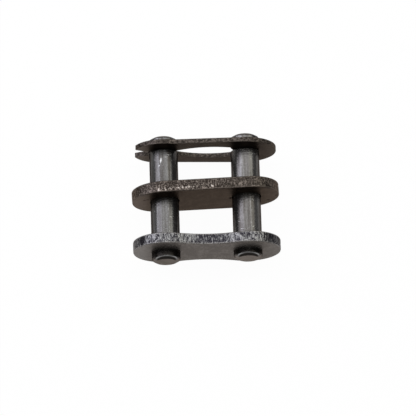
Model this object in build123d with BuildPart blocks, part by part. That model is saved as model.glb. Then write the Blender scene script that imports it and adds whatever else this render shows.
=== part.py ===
from build123d import *
from math import atan2, cos, degrees, radians, sin, sqrt
import os

# Roller chain connecting link, single strand, half inch pitch.
# It lies on the long edges of its plates, with its pins level along Y.
# The origin is on the surface it lies on, under the middle of its box:
# X runs along the plates, from the clip's open end to its closed end,
# and Y runs along the pins, from the outer plate to the clip.

# Driving sizes, in millimetres and degrees

pitch = 12.7
plate_height = 10.2
waist_depth = 1.15
outer_plate_thickness = 1.7
cover_plate_thickness = 1.8
plate_edge_break = 0.15

pin_diameter = 4.45
pin_end_flat_diameter = 3.3
pin_end_bevel_length = 0.35
left_pin_near_overhang = 1.53
right_pin_near_overhang = 1.21
left_pin_far_overhang = 1.53
right_pin_far_overhang = 1.77
neck_diameter = 3.3
neck_edge_bevel = 0.06

inside_length = 14.54
cover_plate_gap = 6.82
cover_plate_skew = 2.3

clip_thickness = 0.72
clip_edge_break = 0.06
closed_end_reach = 4.85
closed_end_inset = 0.02
open_end_radius = 4.75
open_end_blend_radius = 1.5
flank_inset_at_left_pin = 0.7
fork_straight_reach = 3.0
fork_mouth_half = 1.72
fork_tip_radius = 0.15
slot_throat_reach = 2.05
slot_far_corner_reach = 2.2
slot_far_corner_slope = 0.5
slot_corner_radius = 0.3
throat_corner_radius = 0.15

# Fits and clearances, each measured on one side

press_grip = 0.01
cover_hole_play = 0.07
neck_play_along = 0.04
neck_play_around = 0.05
throat_bite = 0.7
fork_bite = 0.75
slot_play = 0.225
slot_far_corner_bite = 0.175
travel_play = 0.05

# Places and sizes that follow

half_pitch = pitch / 2
pin_radius = pin_diameter / 2
neck_radius = neck_diameter / 2
lobe_radius = plate_height / 2
axis_height = lobe_radius
skew_angle = radians(cover_plate_skew)

near_stack = outer_plate_thickness + max(left_pin_near_overhang, right_pin_near_overhang)
far_stack = inside_length + clip_thickness + max(left_pin_far_overhang, right_pin_far_overhang)
inner_face_y = (near_stack - far_stack) / 2
outer_face_y = inner_face_y - outer_plate_thickness
clip_near_y = inner_face_y + inside_length
clip_far_y = clip_near_y + clip_thickness
neck_near_y = clip_near_y - neck_play_along
neck_far_y = clip_far_y + neck_play_along
cover_middle_y = inner_face_y + cover_plate_gap + cover_plate_thickness / 2 / cos(skew_angle)

os.makedirs("parts", exist_ok=True)


def upright_plane(y, turn=0.0):
    """Plane across the pins at y, facing the outer plate's side, turned about the vertical."""
    across = (cos(turn), sin(turn), 0)
    facing = (sin(turn), -cos(turn), 0)
    return Plane(origin=(0, y, axis_height), x_dir=across, z_dir=facing)


def rims(plate):
    """Edges round the outline of a plate's near and far faces."""
    faces = plate.faces().sort_by(Axis.Y)
    return faces[0].outer_wire().edges() + faces[-1].outer_wire().edges()


# Outer plate: two round lobes joined by a waist, whose hollow flanks are tangent to the lobes

waist_half = lobe_radius - waist_depth
flank_radius = (half_pitch**2 + waist_half**2 - lobe_radius**2) / (2 * waist_depth)
flank_centre = waist_half + flank_radius
flank_angle = degrees(atan2(half_pitch, flank_centre))
lobe_angle = 90 + flank_angle

with BuildPart() as outer_plate:
    with BuildSketch(upright_plane(inner_face_y)):
        with BuildLine():
            CenterArc((half_pitch, 0), lobe_radius, -lobe_angle, 2 * lobe_angle)
            CenterArc((0, flank_centre), flank_radius, 270 - flank_angle, 2 * flank_angle)
            CenterArc((-half_pitch, 0), lobe_radius, 180 - lobe_angle, 2 * lobe_angle)
            CenterArc((0, -flank_centre), flank_radius, 90 - flank_angle, 2 * flank_angle)
        make_face()
        with Locations((-half_pitch, 0), (half_pitch, 0)):
            Circle(pin_radius - press_grip, mode=Mode.SUBTRACT)
    extrude(amount=outer_plate_thickness)
    fillet(rims(outer_plate), plate_edge_break)
outer_plate.part.label = "outer_plate"
export_step(outer_plate.part, "parts/outer_plate.step")

# Cover plate: straight-sided, a slip fit on the pins, skewed within the play of its holes

with BuildPart() as cover_plate:
    with BuildSketch(upright_plane(cover_middle_y, skew_angle)):
        SlotCenterToCenter(pitch, plate_height)
        with Locations((-half_pitch, 0), (half_pitch, 0)):
            Circle(pin_radius + cover_hole_play, mode=Mode.SUBTRACT)
    extrude(amount=cover_plate_thickness / 2, both=True)
    fillet(rims(cover_plate), plate_edge_break)
cover_plate.part.label = "cover_plate"
export_step(cover_plate.part, "parts/cover_plate.step")

# Spring clip: a flat split loop, closed at the right, whose fork snaps round the left neck

seat_radius = neck_radius + neck_play_around
closed_end_radius = lobe_radius - closed_end_inset
closed_end_centre = half_pitch + closed_end_reach - closed_end_radius
flank_half_at_left_pin = lobe_radius - flank_inset_at_left_pin

throat_half = seat_radius - throat_bite
fork_half = seat_radius - fork_bite
fork_mouth_reach = sqrt(open_end_radius**2 - fork_mouth_half**2)
fork_flare_slope = (fork_mouth_half - fork_half) / (fork_mouth_reach - fork_straight_reach)
fork_straight_x = -half_pitch - fork_straight_reach
open_end_x = -half_pitch - open_end_radius
open_end_gap_half = fork_half + (fork_straight_x - open_end_x) * fork_flare_slope
slot_start_x = -half_pitch + slot_throat_reach
slot_corner_x = half_pitch - slot_far_corner_reach
slot_half = pin_radius + slot_play
slot_corner_half = pin_radius - slot_far_corner_bite

with BuildPart() as spring_clip:
    with BuildSketch(upright_plane(clip_far_y)) as loop:
        with Locations((closed_end_centre, 0)):
            Circle(closed_end_radius)
        with Locations((-half_pitch, 0)):
            Circle(flank_half_at_left_pin)
        make_hull()
        with Locations((-half_pitch, 0)):
            Circle(open_end_radius)
        flank_corners = loop.vertices().group_by(Axis.X)[0]
        fillet(flank_corners, open_end_blend_radius)
        with Locations((-half_pitch, 0), (half_pitch, 0)):
            Circle(seat_radius, mode=Mode.SUBTRACT)
        with BuildLine():
            Polyline((-half_pitch, 0), (-half_pitch, throat_half), (slot_start_x, throat_half))
            ThreePointArc(
                (slot_start_x, throat_half), (0, slot_half), (slot_corner_x, slot_corner_half)
            )
            Polyline(
                (slot_corner_x, slot_corner_half),
                (slot_corner_x + slot_far_corner_slope, throat_half),
                (half_pitch, throat_half),
                (half_pitch, 0),
            )
            mirror(about=Plane.XZ)
        make_face(mode=Mode.SUBTRACT)
        with BuildLine():
            Polyline(
                (-half_pitch, 0),
                (-half_pitch, fork_half),
                (fork_straight_x, fork_half),
                (open_end_x, open_end_gap_half),
                (open_end_x, 0),
            )
            mirror(about=Plane.XZ)
        make_face(mode=Mode.SUBTRACT)
        slot_corners = loop.vertices().filter_by_position(
            Axis.X, slot_corner_x - slot_corner_radius, slot_corner_x + slot_corner_radius
        )
        fillet(slot_corners, slot_corner_radius)
        fork_tips = loop.vertices().group_by(Axis.X)[0]
        fillet(fork_tips, fork_tip_radius)
        throat_corners = loop.vertices().filter_by_position(
            Axis.Y, -throat_half - throat_corner_radius, throat_half + throat_corner_radius
        )
        fillet(throat_corners, throat_corner_radius)
    extrude(amount=clip_thickness)
    fillet(rims(spring_clip), clip_edge_break)
spring_clip.part.label = "spring_clip"
export_step(spring_clip.part, "parts/spring_clip.step")

# Pins: plain shanks with bevelled ends, and a neck near the far end for the clip

flat_radius = pin_end_flat_diameter / 2

pins = {
    "left_pin": (-half_pitch, left_pin_near_overhang, left_pin_far_overhang),
    "right_pin": (half_pitch, right_pin_near_overhang, right_pin_far_overhang),
}

for name, (pin_x, near_overhang, far_overhang) in pins.items():
    near_y = outer_face_y - near_overhang
    far_y = clip_far_y + far_overhang
    axis_point = (pin_x, 0, axis_height)
    with BuildPart() as pin:
        with BuildSketch(Plane(origin=axis_point, x_dir=(1, 0, 0), z_dir=(0, 0, 1))):
            with BuildLine():
                Polyline(
                    (0, near_y),
                    (flat_radius, near_y),
                    (pin_radius, near_y + pin_end_bevel_length),
                    (pin_radius, neck_near_y - neck_edge_bevel),
                    (pin_radius - neck_edge_bevel, neck_near_y),
                    (neck_radius, neck_near_y),
                    (neck_radius, neck_far_y),
                    (pin_radius - neck_edge_bevel, neck_far_y),
                    (pin_radius, neck_far_y + neck_edge_bevel),
                    (pin_radius, far_y - pin_end_bevel_length),
                    (flat_radius, far_y),
                    (0, far_y),
                    close=True,
                )
            make_face()
        revolve(axis=Axis(axis_point, (0, 1, 0)))
    pin.part.label = name
    export_step(pin.part, f"parts/{name}.step")

# Travel of the two pieces that slide

cover_half_depth = (half_pitch + lobe_radius) * sin(skew_angle) + cover_plate_thickness / 2 * cos(skew_angle)
cover_towards_outer = cover_middle_y - cover_half_depth - inner_face_y - travel_play
cover_towards_clip = clip_near_y - cover_middle_y - cover_half_depth - travel_play
clip_release = fork_mouth_reach + neck_radius + travel_play
print(f"inner face of the outer plate at y {inner_face_y:.3f}, clip from {clip_near_y:.3f} to {clip_far_y:.3f}")
print(f"cover plate middle at y {cover_middle_y:.3f}, reaches {cover_half_depth:.3f} either way")
print(f"cover plate slides {cover_towards_outer:.2f} to the outer plate, {cover_towards_clip:.2f} to the clip")
print(f"spring clip slides {clip_release:.2f} to come off the left neck")
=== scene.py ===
"""Roller chain connecting link: looks, light and camera.

The link lies on the long edges of its plates, with its pins level along Y. Its outer plate faces -Y,
its spring clip faces +Y, and X runs along the plates from the clip's open end to its closed end. Every
size in the classes is in millimetres, and the mesh builder turns it into metres.
"""

import logging
import math
from dataclasses import astuple, dataclass, field
from enum import Enum
from typing import Any

import bmesh
import bpy
import numpy as np
from mathutils import Matrix, Vector


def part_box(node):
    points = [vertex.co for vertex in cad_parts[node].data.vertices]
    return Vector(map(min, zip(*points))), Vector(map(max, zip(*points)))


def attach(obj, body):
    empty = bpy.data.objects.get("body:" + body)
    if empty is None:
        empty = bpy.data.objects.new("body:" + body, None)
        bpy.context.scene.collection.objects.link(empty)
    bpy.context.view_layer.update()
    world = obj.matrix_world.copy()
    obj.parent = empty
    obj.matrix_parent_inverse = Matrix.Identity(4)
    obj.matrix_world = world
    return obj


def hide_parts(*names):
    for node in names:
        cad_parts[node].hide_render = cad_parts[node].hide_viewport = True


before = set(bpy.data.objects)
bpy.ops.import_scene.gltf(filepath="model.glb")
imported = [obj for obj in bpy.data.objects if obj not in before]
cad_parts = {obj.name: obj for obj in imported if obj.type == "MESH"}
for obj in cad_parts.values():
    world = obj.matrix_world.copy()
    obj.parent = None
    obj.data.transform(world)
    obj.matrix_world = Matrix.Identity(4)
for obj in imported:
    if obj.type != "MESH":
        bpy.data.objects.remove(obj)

LOG = logging.getLogger("connecting_link")
MM = 0.001
IMAGE_SIDE = 416
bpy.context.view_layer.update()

Numbers = float | np.ndarray
Place = tuple[float, float, float]
Colour = tuple[float, float, float, float]

# Factors and shifts that turn a cell's three numbers into one that looks random
CELL_FACTORS = np.array((73856093, 19349663, 83492791), np.uint64)
SEED_FACTOR = 2654435761
MIXING_STEPS = ((15, 2246822519), (13, 3266489917))
LAST_SHIFT = 16
LOW_BITS = 0xFFFFFFFF

# Points on a rounded corner of a run and on an arc of a profile
CORNER_POINTS = 9
ARC_POINTS = 7

# Shortest length that counts, and distance up to which vertices are merged, in millimetres
SLIVER = 1e-9
SEWING_DISTANCE = 0.0004

# Places of the Mix node's sockets for colours
MIX_SHARE, MIX_FIRST, MIX_SECOND, MIX_RESULT = 0, 6, 7, 2

# Shares of the way across a face at which it has points: from hole to outline, and over the clip
RAY_SHARES = np.concatenate(((0.0, 0.02, 0.06), np.linspace(0.12, 0.9, 8), (0.96, 0.985, 1.0)))
ACROSS_SHARES = np.array((0.03, 0.1, 0.25, 0.4, 0.5, 0.6, 0.75, 0.9, 0.97))

# Height of the pins' axes over the floor, in millimetres
AXIS_HEIGHT = 5.1

# Share of a grey's warmth that its blue loses, and share of a spot's reach that is full
BLUE_LOSS = 0.7
SPOT_CORE = 0.35


# Numbers and curves


def cell_random(cells: np.ndarray, seed: int) -> np.ndarray:
    """Give every whole-number cell a number of its own.

    The three whole numbers are multiplied by large odd numbers, added, and mixed by shifting and
    multiplying.

    Args:
        cells: Whole numbers, shape (..., 3).
        seed: Choice of the pattern.

    Returns:
        Numbers from 0 to 1, shape (...).
    """
    low_bits = np.uint64(LOW_BITS)
    h = cells.astype(np.int64).astype(np.uint64) @ CELL_FACTORS
    h = (h + np.uint64(seed * SEED_FACTOR)) & low_bits
    for shift, factor in MIXING_STEPS:
        h = ((h ^ (h >> np.uint64(shift))) * np.uint64(factor)) & low_bits
    return (h ^ (h >> np.uint64(LAST_SHIFT))).astype(float) / LOW_BITS


def soft_noise(x: np.ndarray, y: np.ndarray, z: np.ndarray, seed: int) -> np.ndarray:
    """Smooth noise: random values at whole-number points, blended over each cell by t * t * (3 - 2 * t).

    Args:
        x: First coordinate, in cells.
        y: Second coordinate, in cells.
        z: Third coordinate, in cells.
        seed: Choice of the pattern.

    Returns:
        Values from -1 to 1.
    """
    p = np.stack(np.broadcast_arrays(x, y, z), axis=-1)
    low = np.floor(p)
    t = p - low
    w = t * t * (3 - 2 * t)
    total = np.zeros(p.shape[:-1])
    for corner in np.ndindex(2, 2, 2):
        step = np.array(corner)
        share = np.prod(np.where(step == 1, w, 1 - w), axis=-1)
        total += share * cell_random(low + step, seed)
    return 2 * total - 1


def noise_at(x: np.ndarray, y: np.ndarray, z: np.ndarray, cells: Place, seed: int) -> np.ndarray:
    """Smooth noise on places in millimetres, with so many cells a millimetre along each axis."""
    return soft_noise(x * cells[0], y * cells[1], z * cells[2], seed)


def smooth_step(value: np.ndarray, low: float, high: float) -> np.ndarray:
    """Rise from 0 at low to 1 at high along t * t * (3 - 2 * t)."""
    t = np.clip((value - low) / (high - low), 0, 1)
    return t * t * (3 - 2 * t)


def bell(value: np.ndarray, middle: Numbers, width: float) -> np.ndarray:
    """A bell of height 1: exp(-((value - middle) / width)^2)."""
    return np.exp(-(((value - middle) / width) ** 2))


def half_turn(angle: Numbers) -> Numbers:
    """The same angle, from minus half a turn to plus half a turn, in radians."""
    return (angle + math.pi) % (2 * math.pi) - math.pi


def angle_of(vector: np.ndarray) -> float:
    """Angle of a vector from the first axis, in radians."""
    return math.atan2(vector[1], vector[0])


def unit(vector: np.ndarray) -> np.ndarray:
    """Vectors scaled to a length of 1 along the last axis."""
    return vector / np.linalg.norm(vector, axis=-1, keepdims=True)


def arc_points(
    centre: tuple[float, float], radius: float, start: float, end: float, spacing: float
) -> np.ndarray:
    """Points on a circle: centre + radius * (cos a, sin a), with a from start to end in even steps.

    Args:
        centre: Centre of the circle.
        radius: Its radius.
        start: First angle, in radians.
        end: Last angle, in radians.
        spacing: Largest distance between neighbours.

    Returns:
        Points, shape (n, 2).
    """
    count = max(3, math.ceil(abs(end - start) * radius / spacing) + 1)
    a = np.linspace(start, end, count)
    return np.stack((centre[0] + radius * np.cos(a), centre[1] + radius * np.sin(a)), axis=1)


def line_points(start: np.ndarray, end: np.ndarray, spacing: float) -> np.ndarray:
    """Points on a straight run: start + (end - start) * t, with t from 0 to 1 in even steps.

    Args:
        start: First point.
        end: Last point.
        spacing: Largest distance between neighbours.

    Returns:
        Points, shape (n, 2).
    """
    start, end = np.asarray(start, float), np.asarray(end, float)
    count = max(2, math.ceil(np.linalg.norm(end - start) / spacing) + 1)
    return start + (end - start) * np.linspace(0, 1, count)[:, None]


def joined(*runs: np.ndarray) -> np.ndarray:
    """Put runs of points one after the other, each without the first point, which the last run ended on."""
    return np.concatenate([runs[0]] + [run[1:] for run in runs[1:]])


def lengths_along(points: np.ndarray) -> np.ndarray:
    """Distance of each point from the first, measured along the run."""
    return np.concatenate(([0.0], np.cumsum(np.linalg.norm(np.diff(points, axis=0), axis=1))))


def points_at(points: np.ndarray, at: np.ndarray) -> np.ndarray:
    """Points at the given lengths along a run, each coordinate interpolated between neighbours."""
    s = lengths_along(points)
    return np.stack([np.interp(at, s, points[:, k]) for k in range(2)], axis=1)


def trimmed(points: np.ndarray, start: float, end: float) -> np.ndarray:
    """Take a length off each of the two ends of a run.

    Args:
        points: The run.
        start: Length that its first end loses.
        end: Length that its last end loses.

    Returns:
        What is left, shape (n, 2).
    """
    s = lengths_along(points)
    low, high = start, s[-1] - end
    inside = points[(s > low + SLIVER) & (s < high - SLIVER)]
    first, last = points_at(points, np.array((low, high)))
    return np.concatenate((first[None], inside, last[None]))


def rounded_runs(runs: list[np.ndarray], cuts: tuple[float, ...]) -> np.ndarray:
    """Join runs whose ends meet at corners, and round each corner.

    A corner C loses a length on both sides, up to P and Q, and the points
    (1 - t)^2 P + 2 t (1 - t) C + t^2 Q close it.

    Args:
        runs: Runs of points, each starting where the last one ends.
        cuts: Length that each corner between two runs loses on both sides.

    Returns:
        One run of points.
    """
    t = np.linspace(0, 1, CORNER_POINTS)[1:-1, None]
    out = []
    for k, run in enumerate(runs):
        before = cuts[k - 1] if k else 0.0
        after = cuts[k] if k < len(cuts) else 0.0
        kept = trimmed(run, before, after)
        if k:
            corner, p, q = run[0], out[-1][-1], kept[0]
            out.append((1 - t) ** 2 * p + 2 * t * (1 - t) * corner + t**2 * q)
        out.append(kept)
    return np.concatenate(out)


def rounded_profile(corners: list[Place], spacing: float) -> np.ndarray:
    """Profile with straight runs between corners, each corner replaced by an arc tangent to both runs.

    Args:
        corners: Radius, place along the axis and rounding radius of each corner.
        spacing: Largest distance between neighbours on the straight runs.

    Returns:
        Points (radius, place along the axis), shape (n, 2).
    """
    at = np.array(corners)[:, :2]
    arcs = [at[:1]]
    for k, (*_, rounding) in enumerate(corners[1:-1], start=1):
        if rounding <= 0:
            arcs.append(at[k : k + 1])
            continue
        u, v = unit(at[k - 1] - at[k]), unit(at[k + 1] - at[k])
        half = math.acos(float(np.clip(u @ v, -1, 1))) / 2
        centre = at[k] + unit(u + v) * rounding / math.sin(half)
        first = at[k] + u * rounding / math.tan(half) - centre
        last = at[k] + v * rounding / math.tan(half) - centre
        turn = math.acos(float(np.clip(first @ last / rounding**2, -1, 1)))
        t = np.linspace(0, 1, ARC_POINTS)[:, None]
        arcs.append(centre + (np.sin((1 - t) * turn) * first + np.sin(t * turn) * last) / math.sin(turn))
    arcs.append(at[-1:])
    run = [arcs[0]]
    for before, after in zip(arcs[:-1], arcs[1:]):
        run.append(line_points(before[-1], after[0], spacing)[1:-1])
        run.append(after)
    return np.concatenate(run)


def normals_of(points: np.ndarray) -> np.ndarray:
    """Unit normals to the right of a run: the difference of the two neighbours, turned by -90 degrees."""
    along = unit(np.gradient(points, axis=0))
    return np.stack((along[:, 1], -along[:, 0]), axis=1)


# Meshes


def box_of(node: str) -> tuple[np.ndarray, np.ndarray]:
    """Lowest and highest corner of a CAD node at rest, in millimetres."""
    low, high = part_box(node)
    return np.array(low) / MM, np.array(high) / MM


def in_scene(name: str, data: Any) -> bpy.types.Object:
    """Make an object of a mesh, lamp or camera and put it into the scene.

    Args:
        name: Name of the object.
        data: Its mesh, lamp or camera.

    Returns:
        The object.
    """
    obj = bpy.data.objects.new(name, data)
    bpy.context.scene.collection.objects.link(obj)
    return obj


@dataclass
class Shell:
    """Surfaces of one piece, gathered as grids, in millimetres, and then sewn into one closed mesh.

    Attributes:
        name: Name of the piece.
        points: Vertices of each grid.
        quads: Corners of each grid's faces.
        marks: Values that the material reads, by name, for each grid.
        count: Number of vertices so far.
    """

    name: str
    points: list[np.ndarray] = field(default_factory=list)
    quads: list[np.ndarray] = field(default_factory=list)
    marks: dict[str, list[np.ndarray]] = field(default_factory=dict)
    count: int = 0

    def add(self, grid: np.ndarray, wrap: tuple[bool, bool], marks: dict[str, np.ndarray]) -> None:
        """Add a grid of points, where vertex (i, j) joins (i + 1, j) and (i, j + 1).

        Args:
            grid: Points, shape (rows, columns, 3).
            wrap: Whether the last row joins the first, and the last column the first.
            marks: Values for the material, each of a shape that fits (rows, columns).
        """
        rows, columns = grid.shape[:2]
        ids = np.arange(rows * columns).reshape(rows, columns) + self.count
        if wrap[0]:
            ids = np.concatenate((ids, ids[:1]), axis=0)
        if wrap[1]:
            ids = np.concatenate((ids, ids[:, :1]), axis=1)
        quads = np.stack((ids[:-1, :-1], ids[1:, :-1], ids[1:, 1:], ids[:-1, 1:]), axis=-1)
        self.points.append(grid.reshape(-1, 3))
        self.quads.append(quads.reshape(-1, 4))
        self.count += rows * columns
        for key, value in marks.items():
            self.marks.setdefault(key, []).append(np.broadcast_to(value, (rows, columns)).ravel())

    def build(self) -> bpy.types.Object:
        """Make the mesh, merge what meets, point every face outwards and shade it smooth.

        Returns:
            The object, at the origin, with its place in its mesh.
        """
        mesh = bpy.data.meshes.new(self.name)
        points = np.concatenate(self.points) * MM
        mesh.from_pydata(points.tolist(), [], np.concatenate(self.quads).tolist())
        for key, parts in self.marks.items():
            layer = mesh.attributes.new(key, "FLOAT", "POINT")
            layer.data.foreach_set("value", np.concatenate(parts).astype(np.float32))
        sewn = bmesh.new()
        sewn.from_mesh(mesh)
        bmesh.ops.remove_doubles(sewn, verts=sewn.verts, dist=SEWING_DISTANCE * MM)
        bmesh.ops.recalc_face_normals(sewn, faces=sewn.faces)
        sewn.to_mesh(mesh)
        sewn.free()
        mesh.polygons.foreach_set("use_smooth", np.ones(len(mesh.polygons), bool))
        mesh.update()
        return in_scene(self.name, mesh)


# Shader sums


class Wire:
    """An output socket that takes part in sums: each operator adds one Math node to its tree."""

    def __init__(self, graph: "Graph", socket: bpy.types.NodeSocket) -> None:
        """Keep the tree and the socket."""
        self.graph = graph
        self.socket = socket

    def _sum(self, operation: str, first: "Wire | float", second: "Wire | float") -> "Wire":
        """Add a Math node.

        Args:
            operation: The Math node's operation.
            first: Number or wire for its first socket.
            second: Number or wire for its second socket.

        Returns:
            Its output.
        """
        node = self.graph.node("ShaderNodeMath", {"operation": operation}, {0: first, 1: second})
        return Wire(self.graph, node.outputs[0])

    def __add__(self, other: "Wire | float") -> "Wire":
        """Return self + other."""
        return self._sum("ADD", self, other)

    __radd__ = __add__

    def __sub__(self, other: "Wire | float") -> "Wire":
        """Return self - other."""
        return self._sum("SUBTRACT", self, other)

    def __rsub__(self, other: "Wire | float") -> "Wire":
        """Return other - self."""
        return self._sum("SUBTRACT", other, self)

    def __mul__(self, other: "Wire | float") -> "Wire":
        """Return self * other."""
        return self._sum("MULTIPLY", self, other)

    __rmul__ = __mul__

    def ramp(self, low: float, high: float, start: float = 0.0, end: float = 1.0) -> "Wire":
        """Map the value smoothly from one range to another, and hold it beyond them.

        Args:
            low: Value that becomes start.
            high: Value that becomes end.
            start: Result at low.
            end: Result at high.

        Returns:
            The result.
        """
        limits = {"From Min": low, "From Max": high, "To Min": start, "To Max": end}
        smooth = {"interpolation_type": "SMOOTHSTEP"}
        node = self.graph.node("ShaderNodeMapRange", smooth, {"Value": self} | limits)
        return Wire(self.graph, node.outputs[0])


class Graph:
    """The node tree of a material or the world."""

    def __init__(self, tree: bpy.types.NodeTree) -> None:
        """Start with an empty tree."""
        self.tree = tree
        tree.nodes.clear()

    def node(
        self, kind: str, settings: dict[str, Any] | None = None, sockets: dict[str | int, Any] | None = None
    ) -> bpy.types.Node:
        """Add a node.

        Args:
            kind: The node's type.
            settings: Its settings, which are set first.
            sockets: Numbers, colours or wires for its input sockets, by name or place.

        Returns:
            The node.
        """
        node = self.tree.nodes.new(kind)
        for key, value in (settings or {}).items():
            setattr(node, key, value)
        for key, value in (sockets or {}).items():
            if isinstance(value, Wire):
                self.tree.links.new(value.socket, node.inputs[key])
            else:
                node.inputs[key].default_value = value
        return node

    def vector(self, operation: str, *values: Any) -> Wire:
        """A Vector Math node's vector or, for LENGTH, its number."""
        node = self.node("ShaderNodeVectorMath", {"operation": operation}, dict(enumerate(values)))
        return Wire(self, node.outputs["Value" if operation == "LENGTH" else "Vector"])

    def place(self) -> Wire:
        """Object coordinates, in metres."""
        return Wire(self, self.node("ShaderNodeTexCoord").outputs["Object"])

    def along(self) -> Wire:
        """Place along X, in metres."""
        node = self.node("ShaderNodeSeparateXYZ", {}, {0: self.place()})
        return Wire(self, node.outputs["X"])

    def spot(self, middle: Place, half: Place) -> Wire:
        """A spot that is 1 in its middle and fades to 0 at an ellipsoid.

        Args:
            middle: Its middle, in millimetres.
            half: Half its size along each axis.

        Returns:
            Its share.
        """
        away = self.vector("SUBTRACT", self.place(), tuple(v * MM for v in middle))
        away = self.vector("MULTIPLY", away, tuple(1 / (v * MM) for v in half))
        return self.vector("LENGTH", away).ramp(1.0, SPOT_CORE)

    def mark(self, name: str) -> Wire:
        """A value that the piece's mesh carries."""
        node = self.node("ShaderNodeAttribute", {"attribute_type": "GEOMETRY", "attribute_name": name})
        return Wire(self, node.outputs["Fac"])

    def noise(self, cells: Place, detail: float, roughness: float, distortion: float = 0.0) -> Wire:
        """Noise on object coordinates, from about 0.2 to 0.8.

        Args:
            cells: Cells a millimetre along each axis.
            detail: Number of finer layers on top.
            roughness: Share of the finer layers.
            distortion: How far the pattern is bent.

        Returns:
            The noise.
        """
        at = self.vector("MULTIPLY", self.place(), tuple(number / MM for number in cells))
        pattern = {"Scale": 1.0, "Detail": detail, "Roughness": roughness, "Distortion": distortion}
        node = self.node("ShaderNodeTexNoise", {"noise_dimensions": "3D"}, {"Vector": at} | pattern)
        return Wire(self, node.outputs["Fac"])

    def blend(self, share: Wire | float, first: Wire | Colour, second: Wire | Colour) -> Wire:
        """Mix two colours.

        Args:
            share: Share of the second colour.
            first: Colour where the share is 0.
            second: Colour where it is 1.

        Returns:
            The mixed colour.
        """
        kind = {"data_type": "RGBA", "blend_type": "MIX", "clamp_factor": True}
        node = self.node("ShaderNodeMix", kind, {MIX_SHARE: share, MIX_FIRST: first, MIX_SECOND: second})
        return Wire(self, node.outputs[MIX_RESULT])

    def bump(self, height: Wire, depth: float) -> Wire:
        """A normal from a height of 0 to 1, where 1 is a depth in millimetres."""
        node = self.node("ShaderNodeBump", {}, {"Height": height, "Distance": depth * MM, "Strength": 1.0})
        return Wire(self, node.outputs["Normal"])

    def steel(self, colour: Wire, roughness: Wire, normal: Wire, metal: float, tint: Colour) -> None:
        """End the tree in a Principled shader for steel.

        Args:
            colour: Its colour.
            roughness: Its roughness.
            normal: Its normal.
            metal: Share of bare metal; the rest is matt.
            tint: Share of the mirror brightness that is left where the view grazes it, as a colour.
        """
        varying = {"Base Color": colour, "Roughness": roughness, "Normal": normal}
        uniform = {"Metallic": metal, "Specular Tint": tint}
        shader = self.node("ShaderNodeBsdfPrincipled", {}, varying | uniform)
        self.node("ShaderNodeOutputMaterial", {}, {"Surface": Wire(self, shader.outputs["BSDF"])})


def new_material(name: str) -> tuple[bpy.types.Material, Graph]:
    """Start a material.

    Args:
        name: Its name.

    Returns:
        The material and its empty node tree.
    """
    made = bpy.data.materials.new(name)
    made.use_nodes = True
    return made, Graph(made.node_tree)


def grey(level: float, warmth: float = 0.0) -> Colour:
    """A linear grey, warmed by raising red by the share warmth and lowering blue by less."""
    return (level * (1 + warmth), level, level * (1 - BLUE_LOSS * warmth), 1.0)


# Finishes


@dataclass(frozen=True)
class Dent:
    """A dark, rough spot on a face.

    Attributes:
        middle: Its middle, in millimetres.
        half: Half its size along each axis.
    """

    middle: Place
    half: Place


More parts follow.
